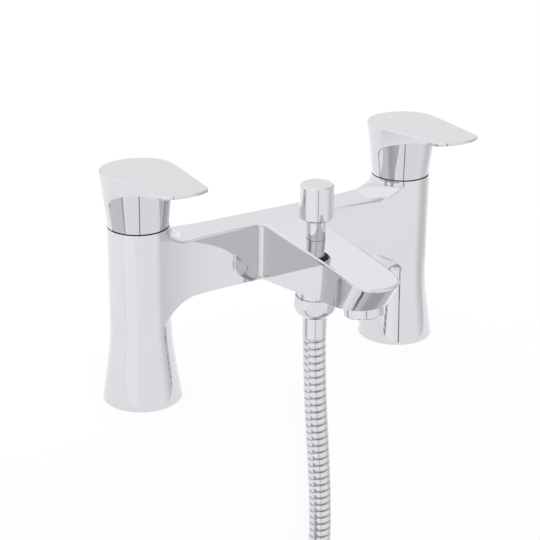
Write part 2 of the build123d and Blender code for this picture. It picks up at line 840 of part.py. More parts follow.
def aerator_washer_ring():
    """Rubber washer between the aerator and the end of its socket."""
    low = aerator_thread + face_gap
    high = aerator_thread + aerator_washer - face_gap
    return on_underside(aerator_y) * tube(aerator_thread_radius, aerator_washer_bore, low, high)


def hose_nut():
    """Hose nut: a bellied barrel with six flats, threaded inside over a floor that holds the ferrule."""
    flange_z = nut_low + nut_floor
    washer_z = flange_z + ferrule_flange + face_gap
    thread_z = washer_z + hose_washer_height - ferrule_edge
    thread = outlet_thread_radius + fit_gap
    heel_z = nut_low + nut_heel_rise
    belly_z = nut_low + nut_belly_rise
    outside = [
        Line((nut_floor_hole, nut_low), (nut_foot_radius, nut_low)),
        ThreePointArc((nut_foot_radius, nut_low), (nut_heel_radius, heel_z), (nut_radius, belly_z)),
        Line((nut_radius, belly_z), (nut_rim_radius, nut_top)),
        Line((nut_rim_radius, nut_top), (thread, nut_top)),
        Line((thread, nut_top), (thread, thread_z)),
        Line((thread, thread_z), (nut_washer_radius, thread_z)),
        Line((nut_washer_radius, thread_z), (nut_washer_radius, washer_z)),
        Line((nut_washer_radius, washer_z), (nut_flange_space, washer_z)),
        Line((nut_flange_space, washer_z), (nut_flange_space, flange_z)),
        Line((nut_flange_space, flange_z), (nut_floor_hole, flange_z)),
        Line((nut_floor_hole, flange_z), (nut_floor_hole, nut_low)),
    ]
    barrel = revolve(Plane.XZ * make_face(outside), Axis.Z)
    return barrel & (Rot(0, 0, nut_angle) * hexagon(nut_flat, nut_low, nut_top))


def hose_washer():
    """Rubber washer between the nipple's end and the ferrule."""
    low = nut_low + nut_floor + ferrule_flange + 2 * face_gap
    return tube(nut_washer_radius - fit_gap, hose_washer_bore, low, low + hose_washer_height)


def hose_ferrule():
    """Ferrule: a flange held in the nut, a neck and the sleeve that is crimped on the hose."""
    flange_low = nut_low + nut_floor + face_gap
    flange_high = nut_low + nut_floor + ferrule_flange
    inner = hose_spigot_radius + face_gap
    end = ferrule_low + hose_spigot + face_gap
    return turned([
        (inner, ferrule_low), (ferrule_radius - ferrule_edge, ferrule_low),
        (ferrule_radius, ferrule_low + ferrule_edge), (ferrule_radius, ferrule_top),
        (ferrule_neck_radius, ferrule_top), (ferrule_neck_radius, flange_low), (ferrule_flange_radius, flange_low),
        (ferrule_flange_radius, flange_high), (hose_bore_radius, flange_high), (hose_bore_radius, end),
        (inner, end),
    ])


def shower_hose():
    """Hanging stretch of the hose: a ruled loft through four circles a rib, with its bore and top spigot."""
    circles = [Pos(0, 0, hose_end_z) * Circle(hose_groove_radius)]
    radii = (hose_groove_radius, hose_radius, hose_radius, hose_groove_radius)
    for i in range(rib_count):
        for share, radius in zip(rib_shares, radii):
            circles.append(Pos(0, 0, hose_end_z + (i + share) * rib_pitch) * Circle(radius))
    circles.append(Pos(0, 0, ferrule_low - face_gap) * Circle(hose_groove_radius))
    solid = loft(circles, ruled=True)
    solid += rod(hose_spigot_radius, ferrule_low - rib_pitch, ferrule_low + hose_spigot)
    return solid - rod(hose_bore_radius, hose_end_z - rib_pitch, ferrule_low + cut_overrun)


def biarc(start, start_way, end, end_way):
    """Two tangent arcs between two points with given directions."""
    span = end - start
    along = span.dot(start_way + end_way)
    spread = 2 * (1 - start_way.dot(end_way))
    reach = (math.sqrt(along * along + spread * span.dot(span)) - along) / spread
    middle = (start + start_way * reach + end - end_way * reach) * 0.5
    return [TangentArc(start, middle, tangent=start_way), TangentArc(end, middle, tangent=-end_way)]


def coil_point(i):
    """Centre line of the coil at the end of a quarter turn, and its direction there."""
    angle = -i * math.pi / 2
    last = max(0, i - (coil_quarters - 2)) / 2
    y = -coil_step * i / 4 - coil_last_shift * last
    point = Vector(coil_radius * (math.cos(angle) - 1), y, coil_centre_z + coil_radius * math.sin(angle))
    slope = -coil_step / (2 * math.pi * coil_radius)
    if i in (0, coil_quarters):
        slope = 0
    elif last > 0:
        slope -= coil_last_shift / (math.pi * coil_radius)
    return point, Vector(math.sin(angle), slope, -math.cos(angle)).normalized()


def coil_route():
    """Edges of the coil's centre line: a straight lead, quarter turns on biarcs and a straight end."""
    first, first_way = coil_point(0)
    edges = [Line(first - first_way * coil_lead, first)]
    for i in range(coil_quarters):
        edges += biarc(*coil_point(i), *coil_point(i + 1))
    last, last_way = coil_point(coil_quarters)
    edges.append(Line(last, last + last_way * coil_lead))
    return edges


def hose_coil():
    """Rest of the hose, wound into a round coil: one tube swept along the turns."""
    route = Wire(coil_route())
    section = Plane(route @ 0, z_dir=route % 0) * Circle(hose_radius)
    return sweep(section, path=route)


def coil_tie(i, strands):
    """Flat band round the strands that pass one quarter point of the coil."""
    first = coil_point(i)[0]
    last = coil_point(i + 4 * (strands - 1))[0]
    middle = Vector(first.X - tie_width / 2, (first.Y + last.Y) / 2, first.Z)
    inside = 2 * (hose_radius + tie_gap)
    apart = first.Y - last.Y
    band = SlotCenterToCenter(apart, inside + 2 * tie_thickness) - SlotCenterToCenter(apart, inside)
    return extrude(Plane(middle, x_dir=(0, 1, 0), z_dir=(1, 0, 0)) * band, tie_width)


def at_far_end():
    """Location on the hose's far end, with +Z along the hose."""
    last, way = coil_point(coil_quarters)
    end = last + way * coil_lead
    return Pos(end.X, end.Y, end.Z)


def far_ferrule():
    """Sleeve, neck and flange at the far end of the hose."""
    neck = far_sleeve + far_neck
    return at_far_end() * turned([
        (hose_bore_radius, face_gap), (ferrule_radius - ferrule_edge, face_gap),
        (ferrule_radius, face_gap + ferrule_edge), (ferrule_radius, far_sleeve), (ferrule_neck_radius, far_sleeve),
        (ferrule_neck_radius, neck), (ferrule_flange_radius, neck), (ferrule_flange_radius, neck + ferrule_flange),
        (hose_bore_radius, neck + ferrule_flange),
    ])


def far_nut():
    """Conical connector nut for a hand shower, threaded inside its wide end."""
    low = far_sleeve + face_gap
    high = low + far_nut_length
    floor = far_sleeve + far_neck - face_gap
    thread_z = high - far_thread_depth
    thread = outlet_thread_radius + fit_gap
    return at_far_end() * turned([
        (nut_floor_hole, low), (far_nut_foot_radius, low), (far_nut_radius, high - far_nut_rim),
        (far_nut_radius, high - far_nut_edge), (far_nut_radius - far_nut_edge, high), (thread, high),
        (thread, thread_z), (nut_flange_space, thread_z), (nut_flange_space, floor), (nut_floor_hole, floor),
    ])


def far_washer():
    """Rubber washer inside the far connector."""
    low = far_sleeve + far_neck + ferrule_flange + face_gap
    return at_far_end() * tube(nut_flange_space - fit_gap, hose_washer_bore, low, low + hose_washer_height)


def spring_point(i):
    """Centre line of the diverter spring at the end of a quarter turn, and its direction there."""
    low = piston_top + face_gap + spring_wire_radius
    high = diverter_bore_top - face_gap - spring_wire_radius
    angle = i * math.pi / 2
    pitch = (high - low) / spring_turns
    slope = pitch / (2 * math.pi * spring_radius)
    point = Vector(spring_radius * math.cos(angle), spring_radius * math.sin(angle), low + pitch * i / 4)
    return point, Vector(-math.sin(angle), math.cos(angle), slope).normalized()


def spring_route():
    """Edges of the spring's centre line."""
    edges = []
    for i in range(4 * spring_turns):
        edges += biarc(*spring_point(i), *spring_point(i + 1))
    return edges


def diverter_spring():
    """Return spring between the piston and the top of the chamber."""
    route = Wire(spring_route())
    section = Plane(route @ 0, z_dir=route % 0) * Circle(spring_wire_radius)
    return sweep(section, path=route)


def report_route(name, edges, tube_radius, samples):
    """Print a route's radii and length, and the least gap between turns that pass each other."""
    radii = [e.radius for e in edges if e.geom_type == GeomType.CIRCLE]
    points = []
    travelled = 0
    for e in edges:
        points += [(travelled + e.length * j / samples, e @ (j / samples)) for j in range(samples)]
        travelled += e.length
    apart = math.pi * min(radii)
    least = min((p - q).length for s, p in points for t, q in points if t - s > apart)
    gap = least - 2 * tube_radius
    low, high = round(min(radii), 2), round(max(radii), 2)
    print(name, "radii", low, high, "length", round(travelled, 1), "gap", round(gap, 2))


if __name__ == "__main__":
    os.makedirs("parts", exist_ok=True)
    write(body_casting(), "body_casting")
    for side, name in zip(SIDES, ("hot", "cold")):
        here = Pos(side * column_x, 0, 0)
        write(here * lever(), name + "_lever")
        write(here * spline_insert(), name + "_spline_insert")
        write(here * grub_screw(), name + "_grub_screw")
        write(here * spindle(), name + "_spindle")
        write(here * spindle_clip(), name + "_spindle_clip")
        write(here * disc(head_low + disc_height + face_gap), name + "_turning_disc")
        write(here * disc(head_low), name + "_fixed_disc")
        write(here * headwork(), name + "_headwork")
        write(here * head_seal(), name + "_head_seal")
        write(here * seat_seal(), name + "_seat_seal")
        write(here * inlet_tail(), name + "_inlet_tail")
        write(here * base_gasket(), name + "_base_gasket")
        write(here * tail_washer(), name + "_tail_washer")
        write(here * backnut(), name + "_backnut")
    over_spout = Pos(0, diverter_y, 0)
    write(over_spout * bonnet(), "diverter_bonnet")
    write(over_spout * diverter_rod(), "diverter_rod")
    write(over_spout * rod_seal(), "diverter_rod_seal")
    write(over_spout * diverter_knob(), "diverter_knob")
    write(over_spout * piston(), "diverter_piston")
    write(over_spout * piston_seal(), "diverter_piston_seal")
    write(over_spout * diverter_spring(), "diverter_spring")
    write(over_spout * nipple(), "outlet_nipple")
    write(over_spout * nipple_seal(), "nipple_seal")
    write(over_spout * check_valve(), "check_valve")
    write(aerator_housing(), "aerator_housing")
    write(aerator_insert(), "aerator_insert")
    write(aerator_washer_ring(), "aerator_washer")
    write(over_spout * hose_nut(), "hose_nut")
    write(over_spout * hose_washer(), "hose_washer")
    write(over_spout * hose_ferrule(), "hose_ferrule")
    write(over_spout * shower_hose(), "shower_hose")
    write(over_spout * hose_coil(), "hose_coil")
    write(over_spout * coil_tie(1, 3), "lower_coil_tie")
    write(over_spout * coil_tie(3, 2), "upper_coil_tie")
    write(over_spout * far_ferrule(), "far_ferrule")
    write(over_spout * far_nut(), "far_nut")
    write(over_spout * far_washer(), "far_washer")
    report_route("coil", coil_route(), hose_radius, 16)
    report_route("spring", spring_route(), spring_wire_radius, 8)
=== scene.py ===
import math

import bmesh
import bpy
from mathutils import Matrix, Vector


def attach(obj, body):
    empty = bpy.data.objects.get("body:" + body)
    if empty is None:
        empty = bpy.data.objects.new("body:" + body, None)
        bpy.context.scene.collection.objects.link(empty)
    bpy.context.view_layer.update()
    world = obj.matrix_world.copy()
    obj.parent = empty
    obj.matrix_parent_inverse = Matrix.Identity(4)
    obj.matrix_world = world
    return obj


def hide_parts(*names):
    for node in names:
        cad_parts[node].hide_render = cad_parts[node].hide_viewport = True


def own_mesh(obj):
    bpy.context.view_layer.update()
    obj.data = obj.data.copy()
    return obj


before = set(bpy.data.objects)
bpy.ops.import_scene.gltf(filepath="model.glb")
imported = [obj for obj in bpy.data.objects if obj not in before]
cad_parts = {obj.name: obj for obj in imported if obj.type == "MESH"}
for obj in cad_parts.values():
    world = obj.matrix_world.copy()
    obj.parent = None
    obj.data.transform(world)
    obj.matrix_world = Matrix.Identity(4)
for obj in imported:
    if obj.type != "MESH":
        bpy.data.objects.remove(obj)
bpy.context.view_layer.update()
scene = bpy.context.scene
scene.view_settings.view_transform = "Standard"

# Camera: a long lens about a metre away on the front left, looking down on the bath deck. Its place, angles
# and focal length were fitted to the photograph's columns, bridge and spout.
CAMERA_PLACE = (-0.46907, -0.76203, 0.43069)
CAMERA_AZIMUTH = math.radians(-31.434)
CAMERA_PITCH = math.radians(22.491)
CAMERA_ROLL = math.radians(0.439)
FOCAL_PIXELS = 1618.16
PHOTO_PIXELS = 540
SENSOR_WIDTH = 36.0
CLIP_NEAR = 0.05
CLIP_FAR = 20.0

lens = bpy.data.cameras.new("photo_camera")
lens.sensor_width = SENSOR_WIDTH
lens.lens = FOCAL_PIXELS / PHOTO_PIXELS * SENSOR_WIDTH
lens.clip_start = CLIP_NEAR
lens.clip_end = CLIP_FAR
camera = bpy.data.objects.new("photo_camera", lens)
scene.collection.objects.link(camera)
look = Vector((
    -math.sin(CAMERA_AZIMUTH) * math.cos(CAMERA_PITCH),
    math.cos(CAMERA_AZIMUTH) * math.cos(CAMERA_PITCH),
    -math.sin(CAMERA_PITCH),
))
right = Vector((math.cos(CAMERA_AZIMUTH), math.sin(CAMERA_AZIMUTH), 0))
turned = Matrix((right, right.cross(look), -look)).transposed() @ Matrix.Rotation(CAMERA_ROLL, 3, "Z")
camera.matrix_world = Matrix.Translation(CAMERA_PLACE) @ turned.to_4x4()
scene.camera = camera


# Shower hose: a spiral of folded steel strip, bright chromed, crimped into a ferrule under the spout. It hangs
# down in front of the bath with a slight lean, and the rest of its 1.5 m is wound into a coil below, where the
# two ties hold it. Each rib is a rounded fold 4.6 mm from the next, with a narrow dark groove between them.
HOSE_TOP = 0.0346
HOSE_LOW = -0.1816
HOSE_Y = -0.0445
HOSE_LEAN = (0.0, 0.0012, 0.0040, 0.0066, 0.0072, 0.0036, 0.0)
COIL_RADIUS = 0.077
COIL_STEP = 0.0148
COIL_TURNS = 2.5
COIL_LAST_SHIFT = 0.0075
COIL_LEAD = 0.014
TURN_POINTS = 16
HOSE_STEPS = 16
RIB_PITCH = 0.0046
RIB_SHARES = (0.0, 0.08, 0.15, 0.30, 0.50, 0.70, 0.85, 0.92)
RIB_RADII = (0.00632, 0.00652, 0.00674, 0.00687, 0.00690, 0.00687, 0.00674, 0.00652)
HOSE_SIDES = 32


def linear(code):
    """Linear colour from an sRGB hex code."""
    shares = [int(code[i:i + 2], 16) / 255 for i in (1, 3, 5)]
    return tuple(c / 12.92 if c <= 0.04045 else ((c + 0.055) / 1.055) ** 2.4 for c in shares) + (1.0,)


def add_node(tree, kind, inputs=None, **settings):
    """Add a node with its settings, and set or link its inputs."""
    node = tree.nodes.new(kind)
    for name, value in settings.items():
        setattr(node, name, value)
    for name, value in (inputs or {}).items():
        if isinstance(value, bpy.types.NodeSocket):
            tree.links.new(value, node.inputs[name])
        else:
            node.inputs[name].default_value = value
    return node


def new_finish(name, colour, metallic, roughness):
    """A material with its plain values, its node tree, its shader and its place on the object."""
    material = bpy.data.materials.new(name)
    material.use_nodes = True
    tree = material.node_tree
    shader = tree.nodes["Principled BSDF"]
    shader.inputs["Base Color"].default_value = linear(colour)
    shader.inputs["Metallic"].default_value = metallic
    shader.inputs["Roughness"].default_value = roughness
    place = add_node(tree, "ShaderNodeTexCoord").outputs["Object"]
    return material, tree, shader, place


def set_ramp(node, stops):
    """Set a colour ramp's stops, each a place with a level of grey or a colour."""
    elements = node.color_ramp.elements
    while len(elements) > 1:
        elements.remove(elements[-1])
    for i, (at, value) in enumerate(stops):
        element = elements[0] if i == 0 else elements.new(at)
        element.position = at
        element.color = value if isinstance(value, tuple) else (value, value, value, 1.0)


def deselect():
    """Leave nothing selected."""
    bpy.ops.object.select_all(action="DESELECT")


def pick(piece):
    """Select one piece alone and make it active."""
    deselect()
    piece.select_set(True)
    bpy.context.view_layer.objects.active = piece


def face_outwards(piece):
    """Turn a closed piece's faces outwards."""
    pick(piece)
    bpy.ops.object.mode_set(mode="EDIT")
    bpy.ops.mesh.select_all(action="SELECT")
    bpy.ops.mesh.normals_make_consistent(inside=False)
    bpy.ops.object.mode_set(mode="OBJECT")


def smooth_curve(name, points, steps):
    """A smooth open curve along control points, from the first to the last, with its steps per point."""
    curve = bpy.data.curves.new(name, "CURVE")
    curve.dimensions = "3D"
    curve.resolution_u = steps
    spline = curve.splines.new("NURBS")
    spline.points.add(len(points) - 1)
    for p, at in zip(spline.points, points):
        p.co = (*at, 1)
    spline.order_u = 3
    spline.use_endpoint_u = True
    return curve


def hose_points():
    """Control points of the hose's line: down the hanging stretch, round the coil and up to its far end.

    Each turn of the coil lies in front of the one before, and the last half turn moves further forwards. The
    points stand a little outside the coil's circle, so that the smooth line between them runs on it.
    """
    last = len(HOSE_LEAN) - 1
    run = HOSE_TOP - HOSE_LOW
    points = [(lean, HOSE_Y, HOSE_TOP - run * i / last) for i, lean in enumerate(HOSE_LEAN)]
    middle = HOSE_LOW - COIL_LEAD
    step = math.tau / TURN_POINTS
    corner_radius = COIL_RADIUS / math.cos(step / 2)
    for i in range(round(COIL_TURNS * TURN_POINTS)):
        turns = (i + 0.5) / TURN_POINTS
        shift = COIL_STEP * turns + COIL_LAST_SHIFT * max(0, 2 * (turns - COIL_TURNS) + 1)
        x = corner_radius * math.cos(math.tau * turns) - COIL_RADIUS
        points.append((x, HOSE_Y - shift, middle - corner_radius * math.sin(math.tau * turns)))
    shift = COIL_STEP * COIL_TURNS + COIL_LAST_SHIFT
    points.append((-2 * COIL_RADIUS, HOSE_Y - shift, HOSE_LOW))
    return points


def read_line(points):
    """Points along the smooth line that a list of control points makes."""
    curve = smooth_curve("hose_line", points, HOSE_STEPS)
    holder = bpy.data.objects.new("hose_line", curve)
    mesh = bpy.data.meshes.new_from_object(holder)
    line = [v.co.copy() for v in mesh.vertices]
    bpy.data.objects.remove(holder)
    bpy.data.curves.remove(curve)
    bpy.data.meshes.remove(mesh)
    return line


def rib_radius(turns):
    """Radius of the folded strip at a share of the way from one groove to the next."""
    share = turns % 1
    for i in range(len(RIB_SHARES)):
        high = RIB_SHARES[i + 1] if i + 1 < len(RIB_SHARES) else 1
        if share <= high:
            low = RIB_SHARES[i]
            mix = (share - low) / (high - low)
            return RIB_RADII[i] * (1 - mix) + RIB_RADII[(i + 1) % len(RIB_RADII)] * mix


def wound_tube(name, line):
    """A tube of spiral ribs along a line, closed at both ends, with each point's depth in its groove."""
    lengths = [0]
    for a, b in zip(line, line[1:]):
        lengths.append(lengths[-1] + (b - a).length)
    ribs = round(lengths[-1] / RIB_PITCH)
    pitch = lengths[-1] / ribs
    stations = [(rib + share) * pitch for rib in range(ribs) for share in RIB_SHARES] + [lengths[-1]]
    side = Vector((1, 0, 0))
    at = 0
    vertices, depths = [], []
    for s in stations:
        while at < len(line) - 2 and lengths[at + 1] < s:
            at += 1
        way = (line[at + 1] - line[at]).normalized()
        centre = line[at] + way * (s - lengths[at])
        side = (side - way * side.dot(way)).normalized()
        other = side.cross(way)
        for k in range(HOSE_SIDES):
            turn = k / HOSE_SIDES
            radius = rib_radius(s / pitch + turn)
            spoke = side * math.cos(math.tau * turn) + other * math.sin(math.tau * turn)
            vertices.append(centre + spoke * radius)
            depths.append((max(RIB_RADII) - radius) / (max(RIB_RADII) - min(RIB_RADII)))
    faces = []
    for i in range(len(stations) - 1):
        for k in range(HOSE_SIDES):
            a = i * HOSE_SIDES + k
            b = i * HOSE_SIDES + (k + 1) % HOSE_SIDES
            faces.append((a, b, b + HOSE_SIDES, a + HOSE_SIDES))
    last = (len(stations) - 1) * HOSE_SIDES
    faces.append(tuple(reversed(range(HOSE_SIDES))))
    faces.append(tuple(range(last, last + HOSE_SIDES)))
    mesh = bpy.data.meshes.new(name)
    mesh.from_pydata(vertices, [], faces)
    mesh.update()
    mesh.attributes.new("groove_depth", "FLOAT", "POINT").data.foreach_set("value", depths)
    tube = bpy.data.objects.new(name, mesh)
    scene.collection.objects.link(tube)
    return tube


hose_line = read_line(hose_points())
hose = wound_tube("spiral_hose", hose_line)
face_outwards(hose)
bpy.ops.object.shade_smooth()

# Chromed steel strip: thinner plate than on the brass, so it mirrors a little less sharply. The grooves' colour is
# darkened, partly grime and partly painted shade. Hands and water have dulled it in patches about 18 mm long.
hose_chrome, tree, shader, place = new_finish("chromed_steel_strip", "#C9CACD", 1.0, 0.1)
depth = add_node(tree, "ShaderNodeAttribute", attribute_name="groove_depth").outputs["Fac"]
# Painted shade with some grime: the colour darkens with the depth in the groove.
groove = add_node(tree, "ShaderNodeValToRGB", {"Fac": depth})
set_ramp(groove, [
    (0.0, linear("#D2D3D6")), (0.5, linear("#C8C9CD")), (0.8, linear("#77787C")), (1.0, linear("#2A2B2D")),
])
tree.links.new(groove.outputs["Color"], shader.inputs["Base Color"])
dulling = add_node(tree, "ShaderNodeTexNoise", {"Vector": place, "Scale": 55.0, "Detail": 3.0})
wear = add_node(tree, "ShaderNodeMapRange", {"Value": dulling.outputs["Fac"], "To Min": 0.06, "To Max": 0.15})
tree.links.new(wear.outputs["Result"], shader.inputs["Roughness"])
hose.data.materials.append(hose_chrome)
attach(hose, "mixer")
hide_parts("shower_hose", "hose_coil")


# Body: one hollow brass casting, ground and polished by hand, then plated with nickel and chromium. The plate is
# a clear mirror with the belt's shallow waves about 14 mm long, a faint haze of wiping and water marks 35 mm
# wide, edges that the mop has rounded, and a rounder corner where the spout leaves the bridge.
WAVE_SCALE = 70.0
HAZE_SCALE = 28.0
EDGE_RADIUS = 0.0003
ROOT_RADIUS = 0.004
ROOT_CORNER = (0.0147, -0.0105, 0.0)
ROOT_REACH = 0.0055

chrome, tree, shader, place = new_finish("polished_chrome_plate", "#CFCFD3", 1.0, 0.03)
haze = add_node(tree, "ShaderNodeTexNoise", {"Vector": place, "Scale": HAZE_SCALE, "Detail": 5.0, "Roughness": 0.62})
clean = add_node(tree, "ShaderNodeMapRange", {
    "Value": haze.outputs["Fac"], "From Min": 0.4, "From Max": 0.75, "To Min": 0.02, "To Max": 0.055,
})
tree.links.new(clean.outputs["Result"], shader.inputs["Roughness"])
edges = add_node(tree, "ShaderNodeBevel", {"Radius": EDGE_RADIUS}, samples=4)
corner = add_node(tree, "ShaderNodeBevel", {"Radius": ROOT_RADIUS}, samples=8)
spot = add_node(tree, "ShaderNodeSeparateXYZ", {"Vector": place})
either_side = add_node(tree, "ShaderNodeMath", {0: spot.outputs["X"]}, operation="ABSOLUTE")
plan = add_node(tree, "ShaderNodeCombineXYZ", {"X": either_side.outputs["Value"], "Y": spot.outputs["Y"]})
away = add_node(tree, "ShaderNodeVectorMath", {0: plan.outputs["Vector"], 1: ROOT_CORNER}, operation="DISTANCE")
near = add_node(tree, "ShaderNodeMapRange", {
    "Value": away.outputs["Value"], "From Min": ROOT_REACH, "From Max": ROOT_RADIUS,
}, interpolation_type="SMOOTHSTEP")
eased = add_node(tree, "ShaderNodeMix", {
    0: near.outputs["Result"], 4: edges.outputs["Normal"], 5: corner.outputs["Normal"],
}, data_type="VECTOR")
waves = add_node(tree, "ShaderNodeTexNoise", {"Vector": place, "Scale": WAVE_SCALE, "Detail": 1.0})
polish = add_node(tree, "ShaderNodeBump", {
    "Height": waves.outputs["Fac"], "Distance": 0.00001, "Strength": 1.0, "Normal": eased.outputs[1],
})
tree.links.new(polish.outputs["Normal"], shader.inputs["Normal"])


def paint(names, material):
    """Give the named solids one material."""
    for name in names:
        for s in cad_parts[name].material_slots:
            s.material = material


paint(["body_casting"], chrome)


# Levers: zinc castings with a hollowed underside, polished and plated like the body. Each is pushed onto its
# spindle's splines with a brass insert and held by a small screw at the back of its hub.
paint(["hot_lever", "cold_lever"], chrome)


# Diverter: a turned brass knob on a steel rod, in a chromed guide screwed into the spout, and the outlet nipple
# below. A thin black disc under the knob is painted shade, standing for the knob's dark underside.
SHADE_DISC_RADIUS = 0.0084
SHADE_DISC_BORE = 0.0027
SHADE_DISC_LOW = 0.10785
SHADE_DISC_HIGH = 0.10812
ROUND_SIDES = 64


def round_tube(name, radius, bore, low, high, x, y):
    """A short tube, made as a cylinder whose two ends are inset and joined through its middle."""
    deselect()
    bpy.ops.mesh.primitive_cylinder_add(
        vertices=ROUND_SIDES, radius=radius, depth=high - low, location=(x, y, (low + high) / 2),
    )
    tube = bpy.context.object
    tube.name = name
    bpy.ops.object.mode_set(mode="EDIT")
    bpy.ops.mesh.select_mode(type="FACE")
    form = bmesh.from_edit_mesh(tube.data)
    for face in form.faces:
        face.select_set(abs(face.normal.z) > 0.5)
    bmesh.update_edit_mesh(tube.data)
    bpy.ops.mesh.inset(thickness=radius - bore)
    bpy.ops.mesh.bridge_edge_loops()
    bpy.ops.object.mode_set(mode="OBJECT")
    return tube


paint(["diverter_knob", "diverter_bonnet", "outlet_nipple"], chrome)
# A thin black disc under the knob: painted shade where the knob's underside is dark.
shade_disc = round_tube("knob_shade_disc", SHADE_DISC_RADIUS, SHADE_DISC_BORE, SHADE_DISC_LOW, SHADE_DISC_HIGH, 0, HOSE_Y)
face_outwards(shade_disc)
bpy.ops.object.transform_apply(location=True, rotation=True, scale=True)
bpy.ops.object.shade_smooth_by_angle(angle=math.radians(30))

# Painted shade under the knob: black, with a fine spark texture about 0.17 mm from grain to grain.
shade_black, tree, shader, place = new_finish("painted_shade_black", "#101012", 0.0, 0.5)
grain = add_node(tree, "ShaderNodeTexNoise", {"Vector": place, "Scale": 6000.0, "Detail": 2.0})
relief = add_node(tree, "ShaderNodeBump", {"Height": grain.outputs["Fac"], "Distance": 0.00003, "Strength": 0.6})
tree.links.new(relief.outputs["Normal"], shader.inputs["Normal"])
shade = add_node(tree, "ShaderNodeValToRGB", {"Fac": grain.outputs["Fac"]})
set_ramp(shade, [(0.3, linear("#0C0C0E")), (0.7, linear("#18181A"))])
tree.links.new(shade.outputs["Color"], shader.inputs["Base Color"])
shade_disc.data.materials.append(shade_black)
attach(shade_disc, "diverter")


# Aerator: a chromed brass housing screwed into the spout, with a white plastic insert of fine bars that mixes
# air into the water, and a black rubber washer above it.
paint(["aerator_housing"], chrome)

acetal, tree, shader, place = new_finish("white_acetal", "#E6E6E1", 0.0, 0.32)
shader.inputs["Subsurface Weight"].default_value = 0.15
shader.inputs["Subsurface Radius"].default_value = (0.002, 0.002, 0.0016)
shader.inputs["Subsurface Scale"].default_value = 1.0
cloud = add_node(tree, "ShaderNodeTexNoise", {"Vector": place, "Scale": 350.0, "Detail": 3.0})
tint = add_node(tree, "ShaderNodeValToRGB", {"Fac": cloud.outputs["Fac"]})
set_ramp(tint, [(0.3, linear("#DEDED8")), (0.7, linear("#EAEAE6"))])
tree.links.new(tint.outputs["Color"], shader.inputs["Base Color"])
paint(["aerator_insert", "check_valve"], acetal)


# Hose fittings: a hexagon nut with domed corners, a crimped ferrule under it, and at the far end a conical nut
# for the hand shower. All are turned from brass bar and chromed.
paint(["hose_nut", "hose_ferrule", "far_nut", "far_ferrule"], chrome)


# Seals and washers: black nitrile rubber rings, gaskets under the columns and flat washers in the hose's nuts.
# The rubber is moulded and matt, with a bloom of grey dust in its pores, about half a millimetre apart.
rubber, tree, shader, place = new_finish("black_nitrile_rubber", "#161617", 0.0, 0.62)
pores = add_node(tree, "ShaderNodeTexNoise", {"Vector": place, "Scale": 1800.0, "Detail": 4.0, "Roughness": 0.6})
dust = add_node(tree, "ShaderNodeValToRGB", {"Fac": pores.outputs["Fac"]})
set_ramp(dust, [(0.35, linear("#111112")), (0.6, linear("#1B1B1C")), (0.8, linear("#2B2B2B"))])
tree.links.new(dust.outputs["Color"], shader.inputs["Base Color"])
skin = add_node(tree, "ShaderNodeBump", {"Height": pores.outputs["Fac"], "Distance": 0.00006, "Strength": 0.7})
tree.links.new(skin.outputs["Normal"], shader.inputs["Normal"])
rubber_parts = [
    "hot_head_seal", "cold_head_seal", "hot_seat_seal", "cold_seat_seal", "hot_base_gasket", "cold_base_gasket",
    "nipple_seal", "hose_washer", "far_washer", "aerator_washer", "diverter_rod_seal", "diverter_piston_seal",
]
paint(rubber_parts, rubber)


# Inlet tails: turned brass tubes with a three-quarter inch pipe thread down their whole length, screwed into the
# columns and passed through the deck. The thread is 14 turns to the inch, cut on a lathe and left as it is.
TAIL_X = 0.09
TAIL_RADIUS = 0.01316
TAIL_ROOT = 0.01205
TAIL_BORE = 0.0100
TAIL_LOW = -0.052
TAIL_TOP = 0.01795
TAIL_CHAMFER = 0.0009
THREAD_PITCH = 0.001814
THREAD_PROFILE = ((1.15, 0.0), (1.15, 0.15), (0.0, 0.5), (0.0, 0.65), (1.15, 1.0))
THREAD_OVERRUN = 2
SAME_PLACE = 0.0001
SAME_POINT = 0.000001

hot_tail = round_tube("hot_threaded_tail", TAIL_RADIUS, TAIL_BORE, TAIL_LOW, TAIL_TOP, -TAIL_X, 0)
bpy.ops.object.mode_set(mode="EDIT")
bpy.ops.mesh.select_mode(type="EDGE")
bpy.ops.mesh.select_all(action="DESELECT")
form = bmesh.from_edit_mesh(hot_tail.data)
for edge in form.edges:
    level = abs(edge.verts[0].co.z - edge.verts[1].co.z) < SAME_PLACE
    edge.select_set(level and all(v.co.xy.length > TAIL_RADIUS - SAME_PLACE for v in edge.verts))
bmesh.update_edit_mesh(hot_tail.data)
bpy.ops.mesh.bevel(offset=TAIL_CHAMFER, segments=1)
bpy.ops.object.mode_set(mode="OBJECT")
face_outwards(hot_tail)
bpy.ops.object.transform_apply(location=True, rotation=True, scale=True)

# The thread is wound as one solid a little longer than the tail, from its profile between root and crest over one
# pitch. What it shares with the plain tube is the threaded tail.
profile = bpy.data.meshes.new("thread")
profile.from_pydata(
    [(TAIL_ROOT + (TAIL_RADIUS - TAIL_ROOT) * out, 0, up * THREAD_PITCH) for out, up in THREAD_PROFILE],
    [(i, i + 1) for i in range(len(THREAD_PROFILE) - 1)], [],
)
thread = bpy.data.objects.new("thread", profile)
scene.collection.objects.link(thread)
pick(thread)
wound = thread.modifiers.new("wound", "SCREW")
wound.axis = "Z"
wound.angle = math.tau
wound.screw_offset = THREAD_PITCH
wound.iterations = round((TAIL_TOP - TAIL_LOW) / THREAD_PITCH) + 2 * THREAD_OVERRUN
wound.steps = wound.render_steps = ROUND_SIDES
wound.use_merge_vertices = True
wound.merge_threshold = SAME_POINT
bpy.ops.object.modifier_apply(modifier="wound")
thread.data.transform(Matrix.Translation((-TAIL_X, 0, TAIL_LOW - THREAD_OVERRUN * THREAD_PITCH)))
bpy.ops.object.mode_set(mode="EDIT")
bpy.ops.mesh.select_all(action="SELECT")
bpy.ops.mesh.remove_doubles(threshold=SAME_POINT)
